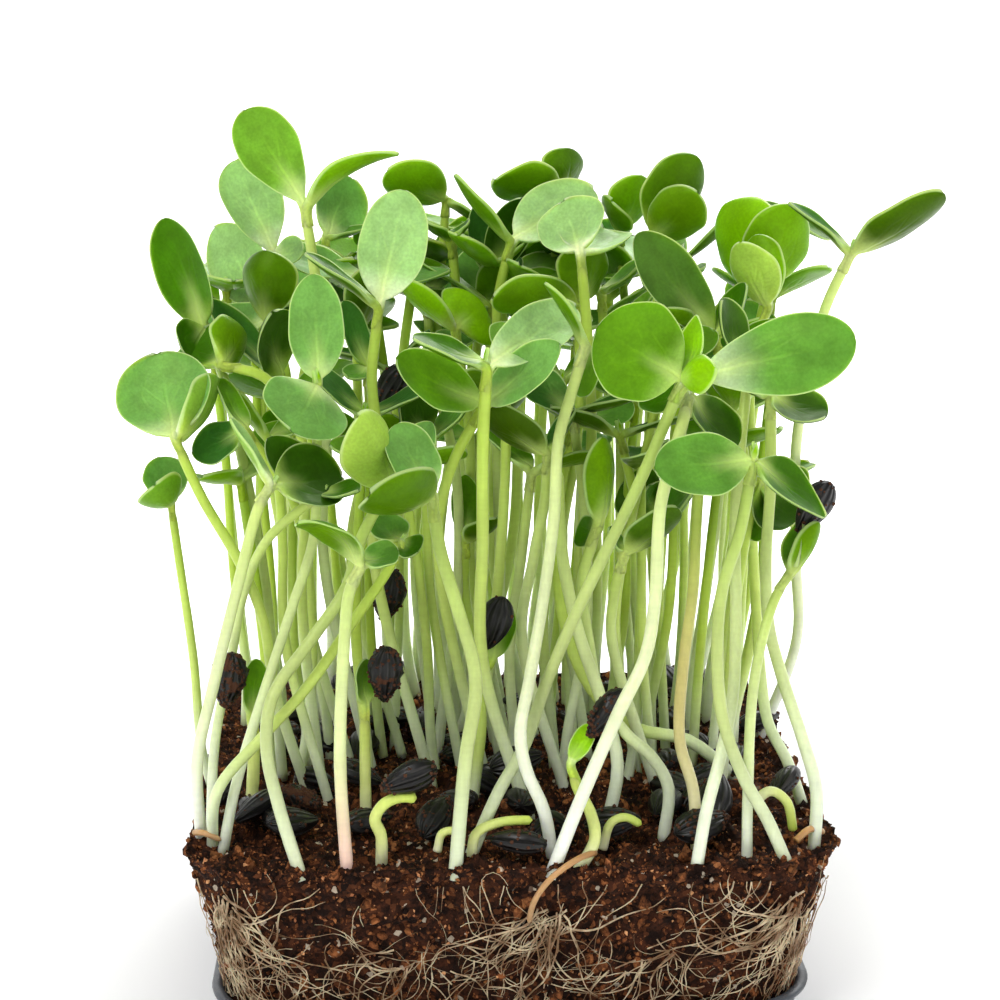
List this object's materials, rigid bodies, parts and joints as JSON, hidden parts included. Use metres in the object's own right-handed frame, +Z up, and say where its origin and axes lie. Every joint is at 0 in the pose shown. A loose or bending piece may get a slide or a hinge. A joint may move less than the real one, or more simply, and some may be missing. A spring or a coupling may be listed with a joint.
{
  "type": "sunflower microgreens tray",
  "caption": "Block of soil in a shallow tray, densely grown with sunflower sprouts on tall pale stems with paired oval seed leaves and black seed hulls.",
  "frame": {"origin": "centre of the tray's flat underside", "axes": "+Z up through the sprouts, +X to the right and +Y to the back, seen from the side that the sprouts lean over"},
  "size_m": [0.1558, 0.1169, 0.1691],
  "materials": {
    "tray_plastic": "satin black",
    "soil": "damp crumbly soil",
    "sprout": "smooth leaf and stem",
    "seed_hull": "dry striped shell",
    "root": "fine cream fibre"
  },
  "bodies": {
    "root": {"tray": "tray_plastic", "soil_block": "soil", "sprout_01": "sprout", "sprout_02": "sprout", "sprout_03": "sprout", "sprout_04": "sprout", "sprout_05": "sprout", "sprout_06": "sprout", "sprout_07": "sprout", "sprout_08": "sprout", "sprout_09": "sprout", "sprout_10": "sprout", "sprout_11": "sprout", "sprout_12": "sprout", "sprout_13": "sprout", "sprout_14": "sprout", "sprout_15": "sprout", "sprout_16": "sprout", "sprout_17": "sprout", "sprout_18": "sprout", "sprout_19": "sprout", "sprout_20": "sprout", "sprout_21": "sprout", "sprout_22": "sprout", "sprout_23": "sprout", "sprout_24": "sprout", "sprout_25": "sprout", "sprout_26": "sprout", "sprout_27": "sprout", "sprout_28": "sprout", "sprout_29": "sprout", "sprout_30": "sprout", "sprout_31": "sprout", "sprout_32": "sprout", "sprout_33": "sprout", "sprout_34": "sprout", "sprout_35": "sprout", "sprout_36": "sprout", "sprout_37": "sprout", "sprout_38": "sprout", "sprout_39": "sprout", "sprout_40": "sprout", "sprout_41": "sprout", "sprout_42": "sprout", "sprout_43": "sprout", "sprout_44": "sprout", "sprout_45": "sprout", "sprout_46": "sprout", "sprout_47": "sprout", "hull_01": "seed_hull", "hull_02": "seed_hull", "hull_03": "seed_hull", "hull_04": "seed_hull", "hull_05": "seed_hull", "hull_06": "seed_hull", "hull_07": "seed_hull", "hull_08": "seed_hull", "roots_middle": "root", "roots_left": "root", "roots_right": "root"}
  },
  "joints": []
}
